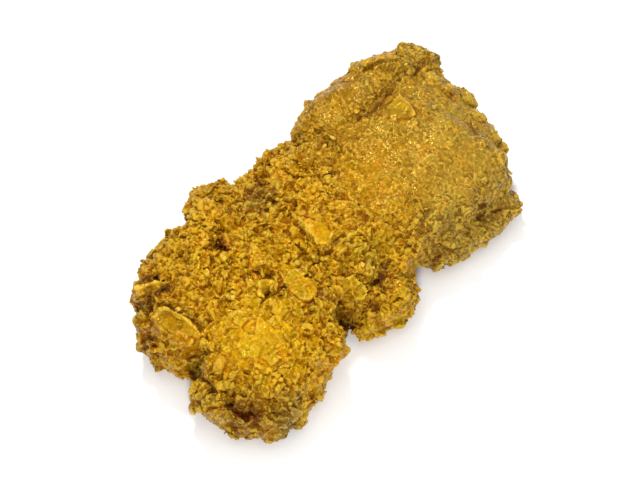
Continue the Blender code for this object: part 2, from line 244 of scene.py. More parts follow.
# Granules that stand out by their size and paler colour: place and radius in millimetres.
BEADS = {
    "pale_bead": ((32.3, -5.5), 0.80),
    "below_fold": ((33.9, 4.4), 0.75),
    "beside_fold": ((36.9, 1.1), 0.60),
    "upper_slab": ((49.8, 4.6), 0.70),
    "by_crack": ((52.4, 15.9), 0.60),
    "rim_bead": ((46.0, -3.2), 0.50),
    "crease_foot": ((28.9, 15.2), 0.60),
    "cream_one": ((12.2, -10.1), 0.75),
    "cream_two": ((10.7, -9.9), 0.60),
    "cream_three": ((13.6, -10.8), 0.55),
    "torn_one": ((-6.5, -21.0), 1.05),
    "torn_two": ((-7.3, -19.6), 0.80),
    "torn_three": ((-4.9, -21.6), 0.70),
    "in_curl": ((-28.0, -9.0), 0.60),
    "roll_foot": ((17.9, 14.5), 0.90),
    "roll_side": ((15.0, 16.1), 0.90),
    "by_v": ((-7.5, 3.6), 0.60),
    "dome_side": ((-40.4, -0.6), 0.70),
    "flake_side": ((-52.1, 10.4), 0.90),
}
BEAD_COLOUR = (242, 196, 78)
# As parts of the radius: how deep its dents are, and how far it stands out.
BEAD_DENTS = 0.05
BEAD_RAISED = 0.15
# How far round its place a bead looks for the highest spot.
BEAD_SEARCH = 0.6 * MM

# The skin under the batter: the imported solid, made even and smoothed, then drawn in by this much.
SKIN_VOXEL = 0.8 * MM
SKIN_SMOOTH_TURNS = 5
SKIN_DRAWN_IN = 0.45 * MM
# A place beside the skin is moved to the skin nearest to it at this part of the piece's height.
SIDE_HEIGHT = 0.4

# Nuggets of batter fused into the crust: count, radii, how strongly small ones prevail, spacing, how deep
# each sinks as a part of its radius, and how much smaller and deeper it is where the crust is calm.
NUGGETS = {
    "lumps": (300, (1.6 * MM, 3.0 * MM), 1.0, 3.4 * MM, 0.45, 0.40),
    "granules": (1300, (0.7 * MM, 1.4 * MM), 1.4, 1.6 * MM, 0.40, 0.40),
    "grains": (4400, (0.42 * MM, 0.80 * MM), 1.3, 1.05 * MM, 0.22, 0.25),
    "knobs": (190, (1.7 * MM, 2.9 * MM), 1.0, 3.2 * MM, 0.42, 0.40),
}
# A nugget's shape, as parts of its radius: dents, planes that press it flat, stretch, and middling height.
NUGGET_DENTS = 0.20
NUGGET_WAVES = 5
NUGGET_WAVINESS = 1.9
NUGGET_CUTS = 5
CUT_LEVELS = (0.35, 0.80)
NUGGET_STRETCH = ((0.8, 0.7, 0.6), (1.35, 1.05, 0.95))
NUGGET_LEVEL = 0.4
# A kind of nuggets that grows larger than this gets more triangles.
LARGE_NUGGET = 1.5 * MM
# How much deeper a nugget sinks for being smaller in calm crust.
SINKS_DEEPER = 0.9

# Angular chips: count, spacing, radii, how strongly small ones prevail, lean in degrees, and as parts of the
# radius how far they are raised, the reach of the corners, width, thickness, how uneven and askew they are,
# how far the top is drawn in, and how high the crown stands as a part of the thickness.
CHIP_COUNT = 3600
CHIP_SPACING = 1.1 * MM
CHIP_RADII = (0.5 * MM, 1.6 * MM)
CHIP_SKEW = 2.0
CHIP_RAISED = 0.1
CHIP_CORNERS = 7
CHIP_LEAN = 16
CHIP_REACH = (0.60, 1.12)
CHIP_WIDTH = (0.50, 0.95)
CHIP_THICKNESS = (0.34, 0.62)
CHIP_UNEVEN = 0.12
CHIP_ASKEW = 0.25
CHIP_TOP = 0.86
CHIP_CROWN = (0.5, 0.9)

# Curled flakes: count, spacing, radii, how strongly small ones prevail, thickness, tilt in degrees, and as
# parts of the radius how deep they sink, width, curl, ripples, how much thinner the rim is, and how far a
# tilt raises them.
CURL_COUNT = 1200
CURL_SPACING = 1.7 * MM
CURL_RADII = (1.0 * MM, 2.4 * MM)
CURL_SKEW = 1.6
CURL_THICKNESS = (0.55 * MM, 0.75 * MM)
CURL_TILTS = (8, 45)
CURL_SUNK = 0.05
CURL_WIDTH = (0.40, 0.85)
CURL_BEND = (0.3, 1.5)
CURL_RIPPLES = ((0.10, 4.2), (0.07, 6.5))
CURL_THIN_RIM = 0.55
CURL_RAISED = 0.55
# The waves round its outline, their least and greatest height, and how fast the finer ones get lower.
CURL_WAVES = (2, 3, 5, 7)
CURL_WAVE_HEIGHTS = (0.02, 0.34)
CURL_WAVE_FALL = 0.8
FLAKE_RINGS = 3
FLAKE_SPOKES = 12
# On a flank, chips and curled flakes keep this part of their lean or tilt.
FLANK_LEAN = 0.3
FLANK_TILT = 0.2

# Where batter is put: how deep a hole may be and how far it stays off a large flake, how much of it calm
# crust, flanks and the smoother end keep, how much of it other places lose, and how strongly chips and
# curled flakes keep to rugged crust.
BATTER_MAX_DEPTH = 0.8 * MM
BATTER_GAP = 0.6 * MM
CALM_BATTER = 0.25
FINE_END_BATTER = 0.50
GRAIN_MAX_DEPTH = 1.2 * MM
CALM_GRAINS = 0.65
FLANK_GRAINS = 0.35
PLATE_GRAIN_LOSS = 0.85
COARSE_GRAIN_LOSS = 0.65
FINE_END_LEAVES = 0.02
FLANK_LEAF_LOSS = 0.88
LEAF_POWER = 3
FINE_END_EDGES = 0.08
EDGES_FROM = (-8 * MM, 6 * MM)
EDGES_LEVEL = (0.55, 0.9)
# Batter sets in over these heights above the table, and stays off what faces further down than this.
OFF_TABLE = (0.6 * MM, 2.0 * MM)
UNDERSIDE = -0.75

# How many places are drawn for each piece of batter that is wanted.
TRIES = 6

# How fine the fused crust is, how often it is smoothed, its triangles, and the strips that it is cut into.
CRUST_VOXEL = 0.28 * MM
CRUST_SMOOTH_TURNS = 1
CRUST_TRIANGLES = 780000
STRIPS = 4

# The fused crust is broken into lumps, each leaning its own way: size of a lump, how steeply it leans, how
# deep the cracks round it are, and how much of this the calm crust has.
BREAKS = {
    "clumps": (3.6 * MM, 0.22, 0.42 * MM, 0.06),
    "lumps": (1.6 * MM, 0.14, 0.17 * MM, 0.18),
    "grit": (0.9 * MM, 0.10, 0.06 * MM, 0.60),
}
# As parts of a lump's size: how far its outline sways, how uneven the lumps lie and how wide the cracks are.
BREAK_SWAY = 0.40
BREAK_UNEVEN = 0.10
CRACK_WIDTH = 0.16
# Also as parts of a lump's size: the waves of its outline, and the noise along which cracks come and go.
BREAK_WAVE = 1.2
CRACK_PATCH = 1.6
CRACKED = (0.0, 0.6)
# How much of the breaks large flakes and flanks have, over what distance they vary and by how much, and how
# much of those larger than FINE_BREAK the smoother end has, flanks counting as coarse in part.
PLATE_SHARE = 0.30
SIDE_SHARE = 0.55
VIGOUR = (8 * MM, 0.45)
FINE_BREAK = 1.0 * MM
FINE_END_BREAKS = 0.50
FLANK_BREAKS = 0.8
# Below this height breaks and waves fade towards the table.
FOOT_HEIGHT = 1.0 * MM

# Relief pressed into the crust: size of the wave, height on the rugged part and on the smooth part.
WAVES = (
    (6.0 * MM, 0.35 * MM, 0.14 * MM),
    (2.4 * MM, 0.15 * MM, 0.05 * MM),
    (0.8 * MM, 0.10 * MM, 0.04 * MM),
)

# Crumbs that lie loose on the crust, fewer where it is rugged and on large flakes or close to them.
CRUMB_COUNT = 9000
CRUMB_SPACING = 0.5 * MM
CRUMB_RADII = (0.18 * MM, 0.40 * MM)
CRUMB_SKEW = 1.6
CRUMB_SUNK = 0.45
RUGGED_CRUMB_LOSS = 0.55
PLATE_CRUMB_LOSS = 0.8
CRUMB_GAP = 0.5 * MM
# Crumbs and beads stay this far off the table.
TABLE_GAP = 0.05 * MM
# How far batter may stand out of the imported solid's box on each side.
SPARE = np.array((1.2, 1.0, 0.5)) * MM

# Colours of the crust as seen in daylight, as red, green and blue from 0 to 255, each round a place on
# the table in millimetres and reaching so far. They hold painted light and shade as well as the crust's own
# colour: the lower edge, which the lamps leave darker, is set lighter, and the rugged end, which faces away
# from the light, is set darker.
ZONES = {
    "dome": ((-44, -14), 16, (199, 146, 0)),
    "rugged_upper": ((-36, 14), 16, (199, 145, 2)),
    "large_flake": ((-57, 8), 8, (170, 120, 2)),
    "middle": ((-8, 0), 18, (195, 140, 3)),
    "slab_middle": ((18, -3), 14, (169, 116, 1)),
    "smooth_slab": ((42, -14), 20, (172, 131, 38)),
    "fold_roll": ((34, 24), 16, (165, 115, 16)),
    "right_rim": ((60, 8), 12, (170, 128, 30)),
    "lower_edge": ((28, -36), 11, (172, 138, 52)),
    "waist": ((-8, -28), 11, (190, 141, 8)),
    "rugged_end": ((-64, -26), 12, (143, 99, 2)),
    "upper_corner": ((-56, 24), 10, (176, 122, 4)),
}

# Local colours: place on the table, reach, colour and strength. Most are the batter's own stains and
# patches; those in holes are painted shade.
LOCAL_COLOURS = {
    "dent": ((-11.5, 17.5), 5.8, (106, 80, 28), 0.88),
    "dent_top": ((-10.0, 21.5), 3.5, (124, 88, 34), 0.60),
    "torn_olive": ((-4.8, -15.6), 4.5, (154, 132, 12), 0.65),
    "torn_pit": ((-3.5, -23.8), 4.2, (112, 78, 28), 0.62),
    "v_dent": ((-13.6, -8.2), 2.2, (120, 90, 10), 0.50),
    "nub_brown": ((-22.2, -17.7), 2.6, (126, 66, 10), 0.70),
    # Painted shade in holes: notch_hole, back_hole and corner_holes.
    "notch_hole": ((-18.8, -24.0), 3.0, (60, 40, 14), 0.75),
    "back_hole": ((-29.8, 14.4), 3.0, (140, 44, 2), 0.90),
    "corner_holes": ((-52.0, 19.0), 3.4, (120, 66, 8), 0.55),
    "corner_crevice": ((-51.0, 24.4), 2.6, (150, 84, 2), 0.70),
    "corner_lobe": ((-56.0, 27.0), 4.5, (172, 108, 8), 0.50),
    "left_tip": ((-61.0, 20.5), 3.2, (88, 74, 28), 0.70),
    "left_brown": ((-63.0, 12.6), 3.0, (110, 66, 20), 0.70),
    "notch_side": ((-60.5, -6.0), 3.4, (118, 84, 10), 0.65),
    # Painted shade in the hole at the rugged end.
    "end_hole": ((-60.0, -22.6), 3.8, (80, 36, 12), 0.85),
    "end_patch": ((-53.3, -33.5), 4.8, (104, 92, 42), 0.85),
    "end_olive": ((-64.6, -11.6), 4.6, (142, 114, 18), 0.60),
    "rim_red": ((38.0, -33.5), 3.4, (140, 92, 40), 0.50),
    "crevice_brown": ((33.0, -31.0), 3.6, (124, 90, 46), 0.50),
    "rim_foot": ((52.6, -25.8), 2.6, (140, 88, 36), 0.45),
    "slab_brown": ((18.0, -27.0), 6.0, (134, 106, 40), 0.55),
    "roll_brown": ((37.0, 14.6), 5.0, (146, 98, 30), 0.60),
    "roll_back": ((36.0, 27.0), 4.0, (150, 100, 24), 0.50),
    "tip_brown": ((57.0, 14.6), 3.4, (130, 92, 36), 0.50),
    "rim_orange": ((55.0, 0.6), 2.2, (172, 100, 8), 0.60),
    "rim_dent": ((50.0, -12.4), 2.8, (126, 96, 46), 0.60),
    "yellow_v": ((-8.4, -4.0), 4.5, (212, 160, 0), 0.45),
    "yellow_dome": ((-44.3, -14.8), 8.0, (212, 158, 0), 0.60),
    "yellow_fold": ((39.0, 7.4), 4.0, (200, 154, 2), 0.65),
    "yellow_mid": ((-24.5, -11.0), 5.0, (214, 158, 0), 0.50),
}
# Painted shade in the depth of holes and crevices.
GROOVE_SHADE_COLOUR = (92, 32, 8)

# The studio's light is brighter than daylight on white, so the crust's own colours are this much darker.
DULLED = 0.73

# Height runs from 0 in a pit to 1 on a crest, and this is level crust. Each kind of relief is found against
# the crust's height averaged over so many more turns, is full at so many metres, and has this weight. The
# height sets the painted shade in pits and the painted highlight on crests.
LEVEL_HEIGHT = 0.52
RELIEFS = (
    (3, 0.05 * MM, 0.08),
    (12, 0.14 * MM, 0.17),
    (120, 0.60 * MM, 0.25),
)
# How strongly painted shade darkens cavities and painted highlight pales crests, and over which depths and
# heights.
PIT_STRENGTH = 0.75
PIT_DEPTHS = (0.08, 0.50)
CREST_STRENGTH = 0.42
CREST_HEIGHTS = (0.50, 1.0)
# How much more the fine batter's painted shade and highlight follow its relief.
FINE_CONTRAST = 0.45
# Where the painted shade in cavities is weaker: place on the table, reach in millimetres, and how far.
PIT_SHADE_EASED = ((-44, -14), 12, 0.45)

# Paler and darker patches: size, strength and the noise's shift.
PATCHES = ((5 * MM, 0.10, 9.1), (1.6 * MM, 0.08, 2.3))
# The fine batter at the smoother end is speckled: strength, size, how much of it calm crust has, and how
# much more rugged crust has.
SPECKLE = 0.24
SPECKLE_SIZE = 0.6 * MM
SPECKLE_CALM = 0.6
SPECKLE_RUGGED = 0.8
# Just inside their outline large flakes are paler in patches, and so are raised edges all along: painted
# highlight where light catches the rims, and partly the paler colour of thin batter.
RIM_HIGHLIGHT_AND_PALENESS = 0.65
RIM_INSET = 0.2 * MM
RIM_WIDTH = 0.45 * MM
RIM_HEIGHTS = (0.5, 0.75)
RIM_PATCH = 2.2 * MM
RIM_PATCHES = (-0.35, 0.30)
EDGE_CREST = (0.3, 0.8)
# Painted shadow of a large flake's raised rim, in the gap just outside it, where the crust is lower than
# this.
GAP_SHADE = 0.80
GAP_WIDTH = 0.5 * MM
GAP_HEIGHT = 0.62
GAP_FADE = 0.2
# Painted shade darkens holes and crevices over these depths.
HOLE_SHADE = 0.92
HOLE_DEPTHS = (0.2 * MM, 1.3 * MM)
# How much pieces of batter differ in lightness and warmth, what warmth does to red, green and blue, how much
# crumbs also differ in tone, and how much paler they are upwards, as painted highlight on their tops and
# painted shade low down.
TINT_LIGHT = 0.07
TINT_WARM = 0.03
WARMTH = np.array((1, -0.5, -3))
TINT_TONE = 0.10
CRUMB_RISE_LIGHT = 0.35


def linear(colour):
    """Linear red, green and blue of the crust itself from 0 to 255 values as seen."""
    share = np.asarray(colour, float) / 255
    return DULLED * np.where(share <= 0.04045, share / 12.92, ((share + 0.055) / 1.055) ** 2.4)


def smooth_step(values, low, high):
    """0 below low, 1 above high, and an even S-shaped rise between them."""
    share = np.clip((values - low) / (high - low), 0, 1)
    return share * share * (3 - 2 * share)


def bell(values, width, middle=0.0):
    """1 in the middle, fading to 0 within about twice the width on both sides."""
    return np.exp(-(((values - middle) / width) ** 2))


def near(places, spot, reach):
    """1 over a spot on the table, given in millimetres, fading to 0 within about twice the reach."""
    return bell(np.hypot(places[:, 0] / MM - spot[0], places[:, 1] / MM - spot[1]), reach)


def ruggedness(places, normals):
    """1 where the crust is craggy, 0 where it is smooth."""
    craggy = np.ones(len(places))
    for spot, reach, calm in CALM.values():
        craggy *= 1 - calm * near(places, spot, reach)
    return 1 - (1 - craggy) * smooth_step(normals[:, 2], *RUGGED_SIDE)


def coarseness(places):
    """1 where the batter is coarse and leafy, 0 at the smoother end."""
    return smooth_step(-places[:, 0], *COARSE_FROM)


def steepness(normals):
    """1 on the flanks of the piece, 0 on its top."""
    return 1 - smooth_step(normals[:, 2], *FLANK)


def facing_up(normals):
    """1 on the top of the piece, 0 on its steep sides and underside."""
    return smooth_step(normals[:, 2], *TOP)


def at_least(low, share):
    """A share from 0 to 1, raised so that it starts from low."""
    return low + (1 - low) * share


def apart_from(places, course, closed=False):
    """How far each place is on the table from a course given in millimetres, in metres."""
    corners = np.array(course)[:, :2] * MM
    ends = np.roll(corners, -1, axis=0) if closed else corners[1:]
    if len(corners) == 1:
        ends = corners
    nearest = np.full(len(places), np.inf)
    for start, end in zip(corners, ends):
        along = end - start
        offset = places[:, :2] - start
        share = np.clip(offset @ along / max(along @ along, 1e-12), 0, 1)
        nearest = np.minimum(nearest, np.linalg.norm(offset - share[:, None] * along, axis=1))
    return nearest


def groove_depth(places, normals):
    """How deep the holes and crevices are at each place, in metres."""
    moved = warped(places, *GROOVE_WARP, (5.3, 7.7, 8.9))
    depth = np.zeros(len(places))
    for course, half_width, deep in GROOVES.values():
        depth = np.maximum(depth, deep * MM * bell(apart_from(moved, course), half_width * MM))
    return depth * facing_up(normals)


def on_edges(places, normals):
    """1 on the crest of a known raised edge, fading to 0 beside it."""
    share = np.zeros(len(places))
    for course, half_width, _ in EDGES.values():
        share = np.maximum(share, bell(apart_from(places, course), EDGE_REACH * half_width * MM))
    return share * facing_up(normals)


def plate_reach(places):
    """How far inside the nearest large flake's outline each place is, in metres, and below 0 outside it."""
    reach = np.full(len(places), -np.inf)
    x, y = places[:, 0], places[:, 1]
    for outline in PLATES.values():
        corners = np.array(outline)[:, :2] * MM
        inside = np.zeros(len(places), bool)
        for (x1, y1), (x2, y2) in zip(corners, np.roll(corners, -1, axis=0)):
            crosses = (y1 > y) != (y2 > y)
            inside ^= crosses & (x < x1 + (y - y1) * (x2 - x1) / (y2 - y1 or 1e-12))
        apart = apart_from(places, outline, True)
        reach = np.maximum(reach, np.where(inside, apart, -apart))
    return reach


def on_plates(places, normals, spare):
    """Which places lie on the large flakes or less than spare outside them."""
    return (plate_reach(places) > -spare) & (normals[:, 2] > PLATE_FACING)


def noise_at(places, size, shift=0.0):
    """Smooth noise from -1 to 1 at each place, in waves of this size. Each shift has its own pattern."""
    offset = Vector((shift, 2 * shift, -shift))
    return np.array([noise.noise(Vector(place) / size + offset) for place in places])


def noise_along(steps, size, shift):
    """Smooth noise from -1 to 1 at each step of a line."""
    return noise_at(np.stack([steps, steps * 0, steps * 0], 1), size, shift)


def warped(places, size, reach, shifts):
    """Places moved about in waves of this size, by up to this reach."""
    return places + reach * np.stack([noise_at(places, size, shift) for shift in shifts], 1)


def object_of(name, verts, faces):
    """A linked, smooth-shaded object from arrays of places and triangles."""
    mesh = bpy.data.meshes.new(name)
    mesh.vertices.add(len(verts))
    mesh.vertices.foreach_set("co", np.asarray(verts, np.float32).ravel())
    mesh.loops.add(3 * len(faces))
    mesh.loops.foreach_set("vertex_index", np.asarray(faces, np.int32).ravel())
    mesh.polygons.add(len(faces))
    mesh.polygons.foreach_set("loop_start", np.arange(0, 3 * len(faces), 3, dtype=np.int32))
    mesh.update(calc_edges=True)
    mesh.shade_smooth()
    obj = bpy.data.objects.new(name, mesh)
    bpy.context.scene.collection.objects.link(obj)
    return obj


def modified(obj, kind, **settings):
    """Changes the object's mesh by one modifier."""
    modifier = obj.modifiers.new(kind, kind)
    for name, value in settings.items():
        setattr(modifier, name, value)
    graph = bpy.context.evaluated_depsgraph_get()
    mesh = bpy.data.meshes.new_from_object(obj.evaluated_get(graph))
    obj.modifiers.clear()
    old, obj.data = obj.data, mesh
    bpy.data.meshes.remove(old)


def evened(obj, voxel, turns):
    """Fuses what the object holds into one even skin and rounds its relief a little."""
    modified(obj, "REMESH", mode="VOXEL", voxel_size=voxel)
    modified(obj, "SMOOTH", factor=0.5, iterations=turns)


def read(items, name, kind):
    """A triple of values of each vertex or triangle, as an array."""
    values = np.empty(3 * len(items), kind)
    items.foreach_get(name, values)
    return values.reshape(-1, 3)


def arrays_of(mesh):
    """Places, normals and triangles of a mesh as arrays."""
    mesh.calc_loop_triangles()
    places = read(mesh.vertices, "co", np.float32).astype(float)
    normals = read(mesh.vertices, "normal", np.float32).astype(float)
    return places, normals, read(mesh.loop_triangles, "vertices", np.int32)


def averaged(values, faces, turns):
    """Values smoothed over a mesh, each turn by the mean of the vertices that share a triangle."""
    ends = np.concatenate([faces[:, [0, 1]], faces[:, [1, 2]], faces[:, [2, 0]]])
    first = np.concatenate([ends[:, 0], ends[:, 1]])
    second = np.concatenate([ends[:, 1], ends[:, 0]])
    count = np.maximum(np.bincount(first, minlength=len(values)), 1)
    for _ in range(turns):
        sums = [np.bincount(first, column[second], len(values)) for column in values.T]
        values = 0.5 * values + 0.5 * np.stack(sums, 1) / count[:, None]
    return values


def spread(draw, radii, skew, count):
    """Radii between two bounds, with more small ones where skew is above 1."""
    return radii[0] + (radii[1] - radii[0]) * draw.random(count) ** skew


def tree_of(places):
    """A search tree of places."""
    tree = kdtree.KDTree(len(places))
    for index, place in enumerate(places):
        tree.insert(place, index)
    tree.balance()
    return tree


def triangle_areas(places, faces):
    """The area of each triangle in square metres."""
    corners = places[faces]
    crossed = np.cross(corners[:, 1] - corners[:, 0], corners[:, 2] - corners[:, 0])
    return np.linalg.norm(crossed, axis=1) / 2


def unit(vectors):
    """Many vectors, each made one long."""
    return vectors / np.linalg.norm(vectors, axis=-1, keepdims=True)


def scatter(draw, surface, count, spacing, share):
    """Seeded places spread evenly over a surface, and their normals. share is the chance to keep a place."""
    places, normals, faces = surface
    area = triangle_areas(places, faces)
    chosen = draw.choice(len(faces), size=TRIES * count, p=area / area.sum())
    weights = draw.dirichlet((1, 1, 1), size=len(chosen))
    found = np.einsum("ij,ijk->ik", weights, places[faces[chosen]])
    facing = unit(np.einsum("ij,ijk->ik", weights, normals[faces[chosen]]))
    kept = draw.random(len(found)) < share(found, facing)
    found, facing = found[kept], facing[kept]
    tree = tree_of(found)
    free = np.ones(len(found), bool)
    taken = []
    for index, place in enumerate(found):
        if not free[index]:
            continue
        taken.append(index)
        if len(taken) == count:
            break
        for _, other, _ in tree.find_range(place, spacing):
            free[other] = False
    return found[taken], facing[taken]


def frames_along(draw, normals):
    """A turn for each normal that points +Z along it, spun at random."""
    helper = np.where(np.abs(normals[:, 2:]) < 0.9, (0.0, 0.0, 1.0), (1.0, 0.0, 0.0))
    across = unit(np.cross(helper, normals))
    spin = draw.uniform(0, math.tau, len(normals))[:, None]
    first = np.cos(spin) * across + np.sin(spin) * np.cross(normals, across)
    return np.stack([first, np.cross(normals, first), normals], axis=2)


def set_on(turns, points, places, normals, lift):
    """Copies of a shape, given as points[copy, vertex, axis], turned and lifted along the normals."""
    points = np.einsum("cij,cvj->cvi", turns, points)
    return points + (places + normals * lift[:, None])[:, None]


def ball(subdivisions):
    """Places and triangles of a unit ball."""
    bm = bmesh.new()
    bmesh.ops.create_icosphere(bm, subdivisions=subdivisions, radius=1.0)
    verts = np.array([vert.co for vert in bm.verts])
    faces = np.array([[vert.index for vert in face.verts] for face in bm.faces])
    bm.free()
    return verts, faces


def joined(points, faces):
    """One list of places and triangles from many copies of a shape."""
    count, size = points.shape[:2]
    shifted = faces[None] + size * np.arange(count)[:, None, None]
    return points.reshape(-1, 3), shifted.reshape(-1, 3)


def chips(draw, places, normals):
    """Small angular slabs of batter with a domed top, lying about level with the surface."""
    count = len(places)
    radii = spread(draw, CHIP_RADII, CHIP_SKEW, count)
    angle = np.arange(CHIP_CORNERS) * math.tau / CHIP_CORNERS
    angle = angle + draw.uniform(-CHIP_ASKEW, CHIP_ASKEW, (count, CHIP_CORNERS))
    reach = draw.uniform(*CHIP_REACH, (count, CHIP_CORNERS))
    x, y = reach * np.cos(angle), reach * np.sin(angle) * draw.uniform(*CHIP_WIDTH, (count, 1))
    thick = draw.uniform(*CHIP_THICKNESS, (count, 1))
    rise = draw.uniform(-CHIP_UNEVEN, CHIP_UNEVEN, (count, CHIP_CORNERS))
    top = np.stack([x * CHIP_TOP, y * CHIP_TOP, rise + thick / 2], 2)
    bottom = np.stack([x, y, rise - thick / 2], 2)
    crown = np.zeros((count, 1, 3))
    crown[..., :2] = draw.uniform(-CHIP_ASKEW, CHIP_ASKEW, (count, 1, 2))
    crown[..., 2] = thick * draw.uniform(*CHIP_CROWN, (count, 1))
    base = np.zeros((count, 1, 3))
    base[..., 2] = -thick / 2
    points = np.concatenate([crown, top, bottom, base], 1) * radii[:, None, None]
    faces = []
    for one in range(CHIP_CORNERS):
        two = (one + 1) % CHIP_CORNERS
        low_one, low_two = 1 + CHIP_CORNERS + one, 1 + CHIP_CORNERS + two
        faces.append((0, 1 + one, 1 + two))
        faces.append((1 + one, low_one, low_two))
        faces.append((1 + one, low_two, 1 + two))
        faces.append((1 + 2 * CHIP_CORNERS, low_two, low_one))
    lean = CHIP_LEAN * at_least(FLANK_LEAN, facing_up(normals))
    turns = frames_along(draw, normals) @ leaned(np.radians(draw.normal(0, lean, count)))
    return set_on(turns, points, places, normals, radii * CHIP_RAISED), np.array(faces)


def leaned(tilts):
    """A turn about Y for each tilt."""
    turns = np.zeros((len(tilts), 3, 3))
    turns[:, 0, 0] = turns[:, 2, 2] = np.cos(tilts)
    turns[:, 0, 2] = np.sin(tilts)
    turns[:, 2, 0] = -np.sin(tilts)
    turns[:, 1, 1] = 1
    return turns


def cut_by_planes(draw, points):
    """Presses unit shapes flat against random planes, so that they get facets."""
    for _ in range(NUGGET_CUTS):
        normal = unit(draw.normal(size=(len(points), 1, 3)))
        level = draw.uniform(*CUT_LEVELS, (len(points), 1))
        beyond = np.maximum((points * normal).sum(2) - level, 0)
        points = points - beyond[..., None] * normal
    return points


def nuggets(draw, places, normals, radii, sunk, subdivisions, dents=NUGGET_DENTS):
    """Lumpy, faceted nuggets sunk in the surface, their triangles, and how high each vertex stands."""
    verts, faces = ball(subdivisions)
    count = len(places)
    waves = draw.normal(0, NUGGET_WAVINESS, (count, NUGGET_WAVES, 3))
    phases = draw.uniform(0, math.tau, (count, 1, NUGGET_WAVES))
    bumps = np.sin(np.einsum("vk,cwk->cvw", verts, waves) + phases).sum(2) * dents
    stretch = draw.uniform(*NUGGET_STRETCH, (count, 3))
    points = cut_by_planes(draw, verts[None] * (1 + bumps[..., None])) * stretch[:, None]
    rise = points[..., 2] - NUGGET_LEVEL
    points *= radii[:, None, None]
    return set_on(frames_along(draw, normals), points, places, normals, -radii * sunk), faces, rise


def flake_grid(rings, spokes):
    """Places on a disc as radius and angle, and the triangles of a closed chip: its top, bottom and rim."""
    radius = np.concatenate([[0.0], np.repeat(np.arange(1, rings + 1) / rings, spokes)])
    angle = np.concatenate([[0.0], np.tile(np.arange(spokes) * math.tau / spokes, rings)])
    size = len(radius)
    last = size - spokes
    top, rim = [], []
    for spoke in range(spokes):
        after = (spoke + 1) % spokes
        top.append((0, 1 + spoke, 1 + after))
        for inner in range(1, last, spokes):
            outer = inner + spokes
            top.append((inner + spoke, outer + spoke, outer + after))
            top.append((inner + spoke, outer + after, inner + after))
        one, two = last + spoke, last + after
        rim += [(one, one + size, two + size), (one, two + size, two)]
    top = np.array(top)
    return radius, angle, np.concatenate([top, top[:, ::-1] + size, rim])


def flakes(draw, places, normals):
    """Thin curled flakes of batter, one side sunk in the surface and the other raised."""
    radius, angle, faces = flake_grid(FLAKE_RINGS, FLAKE_SPOKES)
    count = len(places)
    tilts = np.radians(draw.uniform(*CURL_TILTS, count)) * at_least(FLANK_TILT, facing_up(normals))
    thickness = draw.uniform(*CURL_THICKNESS, (count, 1))
    radii = spread(draw, CURL_RADII, CURL_SKEW, count)
    edge = np.ones((count, len(angle)))
    least, greatest = CURL_WAVE_HEIGHTS
    for wave in CURL_WAVES:
        phase = draw.uniform(0, math.tau, (count, 1))
        heights = draw.uniform(least, greatest / wave ** CURL_WAVE_FALL, (count, 1))
        edge += heights * np.cos(wave * angle + phase)
    reach = radius[None] * edge
    x = reach * np.cos(angle)
    y = reach * np.sin(angle) * draw.uniform(*CURL_WIDTH, (count, 1))
    curl = draw.uniform(*CURL_BEND, (count, 1))
    bent = np.sin(curl * x) / curl
    z = (1 - np.cos(curl * x)) / curl
    ripple = draw.uniform(0, math.tau, (count, 1))
    (height_y, often_y), (height_x, often_x) = CURL_RIPPLES
    z = z + height_y * np.sin(often_y * y + ripple) + height_x * np.sin(often_x * x - ripple)
    thick = thickness / radii[:, None] * (1 - CURL_THIN_RIM * radius[None] ** 2)
    top = np.stack([bent, y, z + thick / 2], 2)
    bottom = np.stack([bent, y, z - thick / 2], 2)
    points = np.concatenate([top, bottom], 1) * radii[:, None, None]
    turns = frames_along(draw, normals) @ leaned(tilts)
    lift = (np.sin(np.abs(tilts)) * CURL_RAISED - CURL_SUNK) * radii
    return set_on(turns, points, places, normals, lift), faces


def lie_inside(points, low_gap=0.0):
    """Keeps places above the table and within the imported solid's box and its spare."""
    low = LOW - SPARE
    low[2] = low_gap
    return np.clip(points, low, HIGH + SPARE)


def skin_of(node):
    """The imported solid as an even, smooth skin, drawn in a little and most in holes and crevices."""
    places, _, faces = arrays_of(node.data)
    skin = object_of("skin", places, faces)
    evened(skin, SKIN_VOXEL, SKIN_SMOOTH_TURNS)
    places, normals, _ = arrays_of(skin.data)
    inward = SKIN_DRAWN_IN + groove_depth(places, normals)
    lowered = places - normals * inward[:, None]
    skin.data.vertices.foreach_set("co", lowered.astype(np.float32).ravel())
    skin.data.update()
    return skin


def above_table(places, normals):
    """Where batter may sit: not on the underside."""
    return smooth_step(places[:, 2], *OFF_TABLE) * (normals[:, 2] > UNDERSIDE)


def on_skin(skin, spot):
    """The place and normal where a plumb line meets the top of the skin, or else those nearest to it."""
    above = Vector((spot[0] * MM, spot[1] * MM, 2 * HIGH[2]))
    found, place, normal, _ = skin.ray_cast(above, Vector((0, 0, -1)))
    if not found:
        _, place, normal, _ = skin.closest_point_on_mesh(Vector((above.x, above.y, SIDE_HEIGHT * HIGH[2])))
    return np.array(place), np.array(normal)


def lengths_along(corners):
    """How far along a line on the table each of its corners lies."""
    return np.concatenate([[0], np.cumsum(np.linalg.norm(np.diff(corners[:, :2], axis=0), axis=1))])


def line_at(corners, lengths, steps):
    """Places on a line at these lengths along it."""
    return np.stack([np.interp(steps, lengths, column) for column in corners.T], 1)


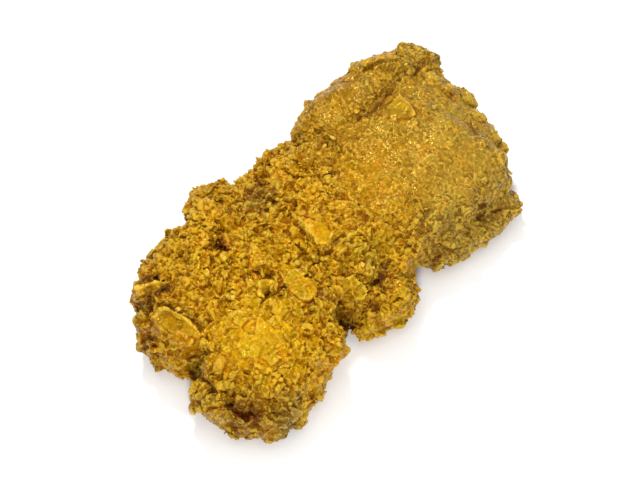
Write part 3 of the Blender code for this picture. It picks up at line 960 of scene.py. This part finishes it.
def plate(draw, skin, outline):
    """A flake of known outline that follows the skin, lifted by the height given at each corner."""
    radius, _, faces = flake_grid(PLATE_RINGS, PLATE_SPOKES)
    corners = np.array(outline + outline[:1])
    lengths = lengths_along(corners)
    steps = np.arange(PLATE_SPOKES) / PLATE_SPOKES * lengths[-1]
    rim = line_at(corners, lengths, steps)
    size, strength = PLATE_RAGGED
    ragged = 1 + strength * noise_along(steps, size, draw.uniform(0, 9))
    centre = rim[:, :2].mean(0)
    rim[:, :2] = centre + (rim[:, :2] - centre) * ragged[:, None]
    middle = np.append(rim[:, :2].mean(0), PLATE_MIDDLE_LIFT * rim[:, 2].mean())
    spoke = np.concatenate([[0], np.tile(np.arange(PLATE_SPOKES), PLATE_RINGS)])
    spots = middle + radius[:, None] * (rim[spoke] - middle)
    bases = np.array([on_skin(skin, spot)[0][2] for spot in spots])
    bases = np.maximum(bases, bases.max() - PLATE_DROP)
    size, strength = PLATE_WRINKLE
    rough = strength * noise_at(spots * MM, size * MM, 3.3)
    tops = np.stack([spots[:, 0] * MM, spots[:, 1] * MM, bases + (spots[:, 2] + rough) * MM], 1)
    under = tops - (0, 0, 1) * (PLATE_THICKNESS * (1 - PLATE_THIN_RIM * radius ** 3))[:, None]
    return np.concatenate([tops, under]), faces


def ridge(draw, skin, course, half_width, tall, sway=EDGE_SWAY):
    """A raised edge of batter along a course on the table, all in millimetres."""
    corners = np.array(course)
    lengths = lengths_along(corners)
    steps = np.linspace(0, lengths[-1], max(EDGE_STATIONS, int(lengths[-1] / EDGE_STATION)))
    line = line_at(corners, lengths, steps)
    seed = draw.uniform(0, 99)
    wobble = [noise_along(steps, EDGE_WAVE, seed + shift) for shift in (0, 3, 6)]
    line += sway * np.stack(wobble[:2], 1)
    start, end, power = EDGE_TAPER
    taper = np.sin(math.pi * np.linspace(start, end, len(steps))) ** power * (1 + EDGE_UNEVEN * wobble[2])
    heading = np.gradient(line, axis=0)
    points = []
    for spot, (along_x, along_y), size in zip(line, heading, taper):
        place, normal = on_skin(skin, spot)
        across = np.cross(normal, (along_x, along_y, 0.0))
        across /= np.linalg.norm(across)
        for beside, up in EDGE_SECTION:
            points.append(place + MM * (across * beside * half_width + normal * up * tall * size))
    section = len(EDGE_SECTION)
    last = (len(steps) - 1) * section
    faces = []
    for station in range(0, last, section):
        for corner in range(section):
            one = station + corner
            two = station + (corner + 1) % section
            faces += [(one, two, two + section), (one, two + section, one + section)]
    for corner in range(1, section - 1):
        faces += [(0, corner + 1, corner), (last, last + corner, last + corner + 1)]
    return np.array(points), np.array(faces)


def stray_edge(draw, place):
    """The course, half width and height of one more edge round a place."""
    length = draw.uniform(*STRAY_LENGTHS)
    steps = np.linspace(-length / 2, length / 2, STRAY_STEPS)
    heading = draw.uniform(0, math.tau) + draw.uniform(-STRAY_BEND, STRAY_BEND) * steps
    course = np.cumsum(np.stack([np.cos(heading), np.sin(heading)], 1) * length / STRAY_STEPS, axis=0)
    course += place[:2] / MM - course.mean(0)
    return course, draw.uniform(*STRAY_HALF_WIDTHS), draw.uniform(*STRAY_HEIGHTS)


def lobe(draw, skin, spot, half_length, half_width, heading):
    """A rounded lump of batter, longer along its heading."""
    verts, faces = ball(subdivisions=4)
    place, normal = on_skin(skin, spot)
    turn = math.radians(heading)
    along = np.array((math.cos(turn), math.sin(turn), 0.0))
    along -= normal * (along @ normal)
    along /= np.linalg.norm(along)
    across = np.cross(normal, along)
    axes = np.stack([along * half_length, across * half_width, normal * half_width * LOBE_HEIGHT])
    size, strength = LOBE_DENTS
    dents = 1 + strength * noise_at(verts, size, draw.uniform(0, 9))
    return (verts * dents[:, None]) @ (axes * MM) + place - normal * (LOBE_SUNK * half_width * MM), faces


def broken(draw, places, faces, size, lean, crack):
    """How far a surface broken into lumps stands out at each place, and the number of the place's lump."""
    moved = warped(places, BREAK_WAVE * size, BREAK_SWAY * size, (1.1, 3.9, 6.2))
    count = int(triangle_areas(places, faces).sum() / size ** 2)
    seeds = moved[draw.choice(len(places), count, replace=False)]
    tree = tree_of(seeds)
    found = [tree.find_n(place, 2) for place in moved]
    lump = np.array([pair[0][1] for pair in found])
    border = np.array([pair[1][2] - pair[0][2] for pair in found])
    slope = draw.normal(size=(len(seeds), 3))
    slope *= lean / np.linalg.norm(slope, axis=1)[:, None]
    level = draw.normal(0, BREAK_UNEVEN * size, len(seeds))
    rise = level[lump] + ((moved - seeds[lump]) * slope[lump]).sum(1)
    deep = crack * smooth_step(noise_at(places, CRACK_PATCH * size, 2.6), *CRACKED)
    return rise - deep * bell(border, CRACK_WIDTH * size), lump


def batter_share(places, normals):
    """How likely batter lies at each place: not in holes or by large flakes, and less where it is calm."""
    open_place = (groove_depth(places, normals) < BATTER_MAX_DEPTH) & ~on_plates(places, normals, BATTER_GAP)
    return above_table(places, normals) * open_place * at_least(CALM_BATTER, ruggedness(places, normals))


def coarse_share(places, normals):
    """Coarse batter, less at the smoother end."""
    coarse = np.maximum(coarseness(places), steepness(normals))
    return batter_share(places, normals) * at_least(FINE_END_BATTER, coarse)


def grain_share(places, normals):
    """Grains: most where the batter is fine and level."""
    open_place = groove_depth(places, normals) < GRAIN_MAX_DEPTH
    kept = open_place * (1 - PLATE_GRAIN_LOSS * on_plates(places, normals, 0))
    kept = above_table(places, normals) * kept * at_least(CALM_GRAINS, ruggedness(places, normals))
    return kept * (1 - COARSE_GRAIN_LOSS * coarseness(places)) * at_least(FLANK_GRAINS, facing_up(normals))


def side_share(places, normals):
    """Knobs: only on the flanks."""
    return batter_share(places, normals) * steepness(normals)


def leaf_share(places, normals):
    """Chips and curled flakes: most on the top of the rugged end."""
    leafy = at_least(FINE_END_LEAVES, coarseness(places)) * (1 - FLANK_LEAF_LOSS * steepness(normals))
    return batter_share(places, normals) * ruggedness(places, normals) ** LEAF_POWER * leafy


def edge_share(places, normals):
    """Raised edges: only where the crust is about level, and most towards the rugged end."""
    leafy = at_least(FINE_END_EDGES, smooth_step(-places[:, 0], *EDGES_FROM))
    rugged = batter_share(places, normals) * ruggedness(places, normals)
    return rugged * leafy * smooth_step(normals[:, 2], *EDGES_LEVEL)


NUGGET_SHARES = {"lumps": coarse_share, "granules": coarse_share, "grains": grain_share, "knobs": side_share}


def battered(draw, node):
    """The skin's surface, and the places and triangles of the skin and of everything fused with it."""
    skin = skin_of(node)
    base = arrays_of(skin.data)
    parts = [(base[0], base[2])]
    parts += [plate(draw, skin, outline) for outline in PLATES.values()]
    parts += [lobe(draw, skin, *values) for values in LOBES.values()]
    parts += [ridge(draw, skin, *values) for values in EDGES.values()]
    places, _ = scatter(draw, base, STRAY_EDGES, STRAY_SPACING, edge_share)
    parts += [ridge(draw, skin, *stray_edge(draw, place), STRAY_SWAY) for place in places]
    bpy.data.objects.remove(skin)
    for name, (count, radii, skew, spacing, sunk, less) in NUGGETS.items():
        places, normals = scatter(draw, base, count, spacing, NUGGET_SHARES[name])
        lesser = less * (1 - ruggedness(places, normals))
        sizes = spread(draw, radii, skew, len(places)) * (1 - lesser)
        subdivisions = 3 if radii[1] > LARGE_NUGGET else 2
        shapes = nuggets(draw, places, normals, sizes, sunk + SINKS_DEEPER * lesser, subdivisions)
        parts.append(joined(*shapes[:2]))
    parts.append(joined(*chips(draw, *scatter(draw, base, CHIP_COUNT, CHIP_SPACING, leaf_share))))
    parts.append(joined(*flakes(draw, *scatter(draw, base, CURL_COUNT, CURL_SPACING, leaf_share))))
    return base, parts


def fused(parts):
    """The largest even surface that encloses all parts."""
    offsets = np.cumsum([0] + [len(places) for places, _ in parts[:-1]])
    verts = np.concatenate([places for places, _ in parts])
    faces = np.concatenate([faces + offset for (_, faces), offset in zip(parts, offsets)])
    crust = object_of("whole_crust", verts, faces)
    evened(crust, CRUST_VOXEL, CRUST_SMOOTH_TURNS)
    crust.data.calc_loop_triangles()
    kept = min(1, CRUST_TRIANGLES / len(crust.data.loop_triangles))
    modified(crust, "DECIMATE", ratio=kept, use_collapse_triangulate=True)
    surface = largest_part(arrays_of(crust.data))
    bpy.data.objects.remove(crust)
    return surface


def make_crust(draw, node):
    """The battered skin, fused and broken into lumps: its surface, heights and tints."""
    base, parts = battered(draw, node)
    places, normals, faces = fused(parts)
    rugged = ruggedness(places, normals)
    push = np.zeros(len(places))
    for size, high, low in WAVES:
        push += (low + (high - low) * rugged) * noise_at(places, size, 4.7)
    tints = np.ones((len(places), 3))
    size, strength = VIGOUR
    vigour = 1 + strength * noise_at(places, size, 3.7)
    vigour *= np.where(on_plates(places, normals, 0), PLATE_SHARE, 1)
    vigour *= at_least(SIDE_SHARE, facing_up(normals))
    coarse = at_least(FINE_END_BREAKS, np.maximum(coarseness(places), FLANK_BREAKS * steepness(normals)))
    for size, lean, crack, calm_share in BREAKS.values():
        rise, lump = broken(draw, places, faces, size, lean, crack)
        push += rise * vigour * at_least(calm_share, rugged) * (coarse if size > FINE_BREAK else 1)
        tints *= tint_factors(draw, lump.max() + 1)[lump]
    push *= smooth_step(places[:, 2], 0, FOOT_HEIGHT)
    crust = object_of("whole_crust", lie_inside(places + normals * push[:, None]), faces)
    surface = arrays_of(crust.data)
    bpy.data.objects.remove(crust)
    return surface, height_of(surface[0], faces, base), tints


def largest_part(surface):
    """Only the largest connected part of a surface."""
    places, normals, faces = surface
    part = np.arange(len(places))
    while True:
        lower = part.copy()
        for first, second in ((0, 1), (1, 2), (2, 0)):
            lowest = np.minimum(part[faces[:, first]], part[faces[:, second]])
            np.minimum.at(lower, faces[:, first], lowest)
            np.minimum.at(lower, faces[:, second], lowest)
        lower = lower[lower]
        if (lower == part).all():
            break
        part = lower
    chosen = faces[part[faces[:, 0]] == np.bincount(part).argmax()]
    used, kept = np.unique(chosen, return_inverse=True)
    return places[used], normals[used], kept.reshape(-1, 3)


def strips(surface, colours):
    """The crust as a few pieces side by side, because a single one would have too many triangles."""
    places, normals, faces = surface
    order = np.argsort(places[faces].mean(1)[:, 0])
    made = []
    for number, chosen in enumerate(np.array_split(order, STRIPS), 1):
        used, kept = np.unique(faces[chosen], return_inverse=True)
        strip = object_of(f"crust_{number}", places[used], kept.reshape(-1, 3))
        strip.data.normals_split_custom_set_from_vertices(normals[used])
        set_colour(strip.data, colours[used])
        made.append(strip)
    return made


def blend(colour, other, share):
    """One colour mixed with another by a share for each place."""
    share = share[:, None]
    return colour * (1 - share) + other * share


def zone_colour(places):
    """The crust's colour by where it lies, with painted light and shade in some zones and holes, in linear
    values.
    """
    total = np.zeros(len(places))
    mixed = np.zeros((len(places), 3))
    for spot, reach, colour in ZONES.values():
        weight = near(places, spot, reach) + 1e-6
        total += weight
        mixed += weight[:, None] * linear(colour)
    mixed /= total[:, None]
    for spot, reach, colour, strength in LOCAL_COLOURS.values():
        mixed = blend(mixed, linear(colour), strength * near(places, spot, reach))
    return mixed


# Painted shade in pits, at the coarse and at the smoother end, and painted highlight on crests, partly also
# the paler colour of thin crisp batter.
PIT_SHADE_COLOUR = linear((138, 58, 0))
FINE_PIT_SHADE_COLOUR = linear((110, 72, 16))
CREST_HIGHLIGHT_COLOUR = linear((250, 204, 66))


def with_painted_relief_light(colour, height, places):
    """A colour with painted shade in cavities and painted highlight on crests."""
    coarse = coarseness(places)
    height = LEVEL_HEIGHT + (height - LEVEL_HEIGHT) * (1 + FINE_CONTRAST * (1 - coarse))
    spot, reach, share = PIT_SHADE_EASED
    deep = PIT_STRENGTH * smooth_step(LEVEL_HEIGHT - height, *PIT_DEPTHS)
    deep = deep * (1 - share * near(places, spot, reach))
    colour = blend(colour, blend(FINE_PIT_SHADE_COLOUR, PIT_SHADE_COLOUR, coarse), deep)
    return blend(colour, CREST_HIGHLIGHT_COLOUR, CREST_STRENGTH * smooth_step(height, *CREST_HEIGHTS))


def set_colour(mesh, colours):
    """Stores a colour for each vertex."""
    layer = mesh.color_attributes.new("crust_colour", "FLOAT_COLOR", "POINT")
    values = np.ones((len(colours), 4), np.float32)
    values[:, :3] = np.clip(colours, 0, 1)
    layer.data.foreach_set("color", values.ravel())


def height_of(places, faces, base):
    """How high each vertex stands over its surroundings, from 0 in a pit to 1 on a crest."""
    nearest = nearest_of(base[0], places)
    above = ((places - base[0][nearest]) * base[1][nearest]).sum(1)[:, None]
    height, mean = LEVEL_HEIGHT, above
    for turns, relief, weight in RELIEFS:
        mean = averaged(mean, faces, turns)
        height = height + weight * ((above - mean)[:, 0] / relief)
    return np.clip(height, 0, 1)


def nearest_of(centres, places):
    """The index of the nearest centre for each place."""
    tree = tree_of(centres)
    return np.array([tree.find(place)[1] for place in places])


def crust_colours(surface, height, tints):
    """The crust's colours by zone, height and lump of batter, painted highlight on rims, painted shade in
    gaps and holes.
    """
    places, normals, _ = surface
    patchy = 1
    for size, strength, shift in PATCHES:
        patchy = patchy + strength * noise_at(places, size, shift)
    fine = (1 - coarseness(places)) * (SPECKLE_CALM + SPECKLE_RUGGED * ruggedness(places, normals))
    patchy += SPECKLE * fine * noise_at(places, SPECKLE_SIZE, 4.4)
    colours = with_painted_relief_light(zone_colour(places) * tints * patchy[:, None], height, places)
    reach = plate_reach(places)
    up = facing_up(normals)
    # Painted shadow in the gap outside a large flake.
    gap = GAP_SHADE * up * bell(reach, GAP_WIDTH, -GAP_WIDTH)
    colours = blend(colours, PIT_SHADE_COLOUR, gap * smooth_step(GAP_HEIGHT - height, 0, GAP_FADE))
    # Painted highlight on flake rims and raised edges, partly the paler colour of thin batter.
    uneven = smooth_step(noise_at(places, RIM_PATCH, 6.4), *RIM_PATCHES)
    rim = bell(reach, RIM_WIDTH, RIM_INSET) * up * smooth_step(height, *RIM_HEIGHTS) * uneven
    rim = np.maximum(rim, smooth_step(on_edges(places, normals), *EDGE_CREST))
    colours = blend(colours, CREST_HIGHLIGHT_COLOUR, RIM_HIGHLIGHT_AND_PALENESS * rim)
    # Painted shade in holes and crevices.
    dark = HOLE_SHADE * smooth_step(groove_depth(places, normals), *HOLE_DEPTHS)
    return blend(colours, linear(GROOVE_SHADE_COLOUR), dark)


def tint_factors(draw, count):
    """How much lighter and warmer each piece of batter is than its surroundings, as colour factors."""
    light = draw.normal(1.0, TINT_LIGHT, (count, 1))
    warm = draw.normal(0.0, TINT_WARM, (count, 1))
    return light * (1 + warm * WARMTH)


def tinted(draw, places, height, rise):
    """Colours for crumb vertices: one tint to each crumb, painted highlight high up and painted shade low
    down.
    """
    base = zone_colour(places) * tint_factors(draw, len(places)) ** 2
    tone = height[:, None] + draw.normal(0, TINT_TONE, (len(places), 1)) + rise
    copies = tone.shape[1]
    base, places = np.repeat(base, copies, axis=0), np.repeat(places, copies, axis=0)
    return with_painted_relief_light(base, np.clip(tone, 0, 1).ravel(), places)


def bead_granules(draw, surface):
    """The few granules that stand out one by one, each on the highest spot round its place."""
    places, normals, _ = surface
    tree = tree_of(places * (1, 1, 0))
    tops = []
    for spot, _ in BEADS.values():
        found = tree.find_range((spot[0] * MM, spot[1] * MM, 0), BEAD_SEARCH)
        tops.append(max((index for _, index, _ in found), key=lambda index: places[index, 2]))
    radii = np.array([radius * MM for _, radius in BEADS.values()])
    sunk, subdivisions = -BEAD_RAISED, 3
    points, faces, _ = nuggets(draw, places[tops], normals[tops], radii, sunk, subdivisions, BEAD_DENTS)
    colours = np.tile(linear(BEAD_COLOUR), (points.shape[0] * points.shape[1], 1))
    return points, faces, colours


def crumb_share(places, normals):
    """Crumbs: fewer where the crust is rugged, and hardly any on large flakes."""
    open_place = 1 - PLATE_CRUMB_LOSS * on_plates(places, normals, CRUMB_GAP)
    return above_table(places, normals) * (1 - RUGGED_CRUMB_LOSS * ruggedness(places, normals)) * open_place


def loose_crumbs(draw, surface, height):
    """Crumbs all over the crust."""
    places, normals = scatter(draw, surface, CRUMB_COUNT, CRUMB_SPACING, crumb_share)
    radii = spread(draw, CRUMB_RADII, CRUMB_SKEW, len(places))
    points, faces, rise = nuggets(draw, places, normals, radii, CRUMB_SUNK, subdivisions=1)
    under = height[nearest_of(surface[0], places)]
    return points, faces, tinted(draw, places, under, CRUMB_RISE_LIGHT * rise)


def loose_batter(draw, surface, height):
    """The crumbs and the granules that stand out, each kind as one piece."""
    kinds = {"crumbs": loose_crumbs(draw, surface, height), "beads": bead_granules(draw, surface)}
    objects = []
    for name, (points, faces, colours) in kinds.items():
        verts, triangles = joined(points, faces)
        objects.append(object_of(name, lie_inside(verts, TABLE_GAP), triangles))
        set_colour(objects[-1].data, colours)
    return objects


def set_inputs(node, values):
    """Sets inputs of a shader node by name, and gives the node."""
    for name, value in values.items():
        node.inputs[name].default_value = value
    return node


def crust_material():
    """Fried batter with a thin coat of oil."""
    material = bpy.data.materials.new("fried_batter")
    material.use_nodes = True
    new, link = material.node_tree.nodes.new, material.node_tree.links.new
    shader = material.node_tree.nodes["Principled BSDF"]
    set_inputs(shader, {"Specular IOR Level": 0.32, "Specular Tint": (1.0, 0.80, 0.17, 1)})
    colour = new("ShaderNodeVertexColor")
    colour.layer_name = "crust_colour"
    fine = set_inputs(new("ShaderNodeTexNoise"), {"Scale": 900, "Detail": 4})
    oil = set_inputs(new("ShaderNodeTexNoise"), {"Scale": 260, "Detail": 3})
    sand = set_inputs(new("ShaderNodeTexVoronoi"), {"Scale": 1300})
    place = new("ShaderNodeTexCoord")
    for texture in (fine, oil, sand):
        link(place.outputs["Object"], texture.inputs["Vector"])

    mottle = new("ShaderNodeMapRange")
    set_inputs(mottle, {"From Min": 0.3, "From Max": 0.7, "To Min": 0.82, "To Max": 1.17})
    link(fine.outputs["Fac"], mottle.inputs["Value"])
    tone = new("ShaderNodeVectorMath")
    tone.operation = "SCALE"
    link(colour.outputs["Color"], tone.inputs[0])
    link(mottle.outputs["Result"], tone.inputs["Scale"])
    link(tone.outputs["Vector"], shader.inputs["Base Color"])

    gloss = new("ShaderNodeMapRange")
    set_inputs(gloss, {"From Min": 0.35, "From Max": 0.65, "To Min": 0.10, "To Max": 0.38})
    link(oil.outputs["Fac"], gloss.inputs["Value"])
    link(gloss.outputs["Result"], shader.inputs["Roughness"])

    pores = set_inputs(new("ShaderNodeBump"), {"Strength": 0.4, "Distance": 0.25 * MM})
    pores.invert = True
    link(sand.outputs["Distance"], pores.inputs["Height"])
    bump = set_inputs(new("ShaderNodeBump"), {"Strength": 0.3, "Distance": 0.25 * MM})
    link(fine.outputs["Fac"], bump.inputs["Height"])
    link(pores.outputs["Normal"], bump.inputs["Normal"])
    link(bump.outputs["Normal"], shader.inputs["Normal"])
    return material


def pale_floor():
    """A plain pale floor."""
    size = 1.2
    verts = np.array([(-size, -size, 0), (size, -size, 0), (size, size, 0), (-size, size, 0)])
    floor = object_of("floor", verts, np.array([(0, 1, 2), (0, 2, 3)]))
    material = bpy.data.materials.new("pale_floor")
    material.use_nodes = True
    shader = material.node_tree.nodes["Principled BSDF"]
    set_inputs(shader, {"Base Color": (0.92, 0.92, 0.92, 1), "Roughness": 0.8})
    floor.data.materials.append(material)


# Soft square lamps aimed at the piece: place and side in metres, and watts. The surround's strength.
LIGHTS = {
    "window": ((0.26, 0.43, 0.70), 0.12, 5.0),
    "overhead": ((0.05, 0.08, 0.95), 1.0, 4.2),
    "front_fill": ((-0.42, -0.38, 0.42), 0.14, 3.0),
}
LAMPS_AIM = Vector((0, 0, 0.01))
SURROUND = 0.42


def studio():
    """Soft daylight from above and a bright surround."""
    scene = bpy.context.scene
    scene.world = bpy.data.worlds.new("surround")
    scene.world.use_nodes = True
    background = scene.world.node_tree.nodes["Background"]
    set_inputs(background, {"Color": (1, 1, 1, 1), "Strength": SURROUND})
    for name, (place, side, power) in LIGHTS.items():
        data = bpy.data.lights.new(name, "AREA")
        data.shape = "SQUARE"
        data.size = side
        data.energy = power
        lamp = bpy.data.objects.new(name, data)
        lamp.location = place
        lamp.rotation_euler = (LAMPS_AIM - Vector(place)).to_track_quat("-Z", "Y").to_euler()
        scene.collection.objects.link(lamp)
    scene.view_settings.view_transform = "Standard"


# The camera: its bearing and height round the target in radians, how far off it stands, its lens in
# millimetres, and what it is aimed at.
AZIMUTH = math.radians(-47.7)
ELEVATION = math.radians(62)
DISTANCE = 0.5
LENS = 96.5
TARGET = Vector((-4.89, -0.79, 10)) * MM


def camera():
    """The photograph's view: from above, the piece's smoother end to the upper right."""
    data = bpy.data.cameras.new("camera")
    data.lens = LENS
    data.sensor_width = 36
    data.clip_start = 0.01
    view = bpy.data.objects.new("camera", data)
    away = Vector((
        math.sin(AZIMUTH) * math.cos(ELEVATION),
        -math.cos(AZIMUTH) * math.cos(ELEVATION),
        math.sin(ELEVATION),
    ))
    view.location = TARGET + away * DISTANCE
    view.rotation_euler = (-away).to_track_quat("-Z", "Y").to_euler()
    bpy.context.scene.collection.objects.link(view)
    bpy.context.scene.camera = view


def build():
    """Makes every piece, the floor, the light and the camera."""
    draw = np.random.default_rng(SEED)
    surface, height, tints = make_crust(draw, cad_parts[NODE])
    crust = strips(surface, crust_colours(surface, height, tints))
    material = crust_material()
    for piece in crust + loose_batter(draw, surface, height):
        piece.data.materials.append(material)
        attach(piece, "root")
    for strip in crust:
        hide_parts(NODE)
    pale_floor()
    studio()
    camera()


build()
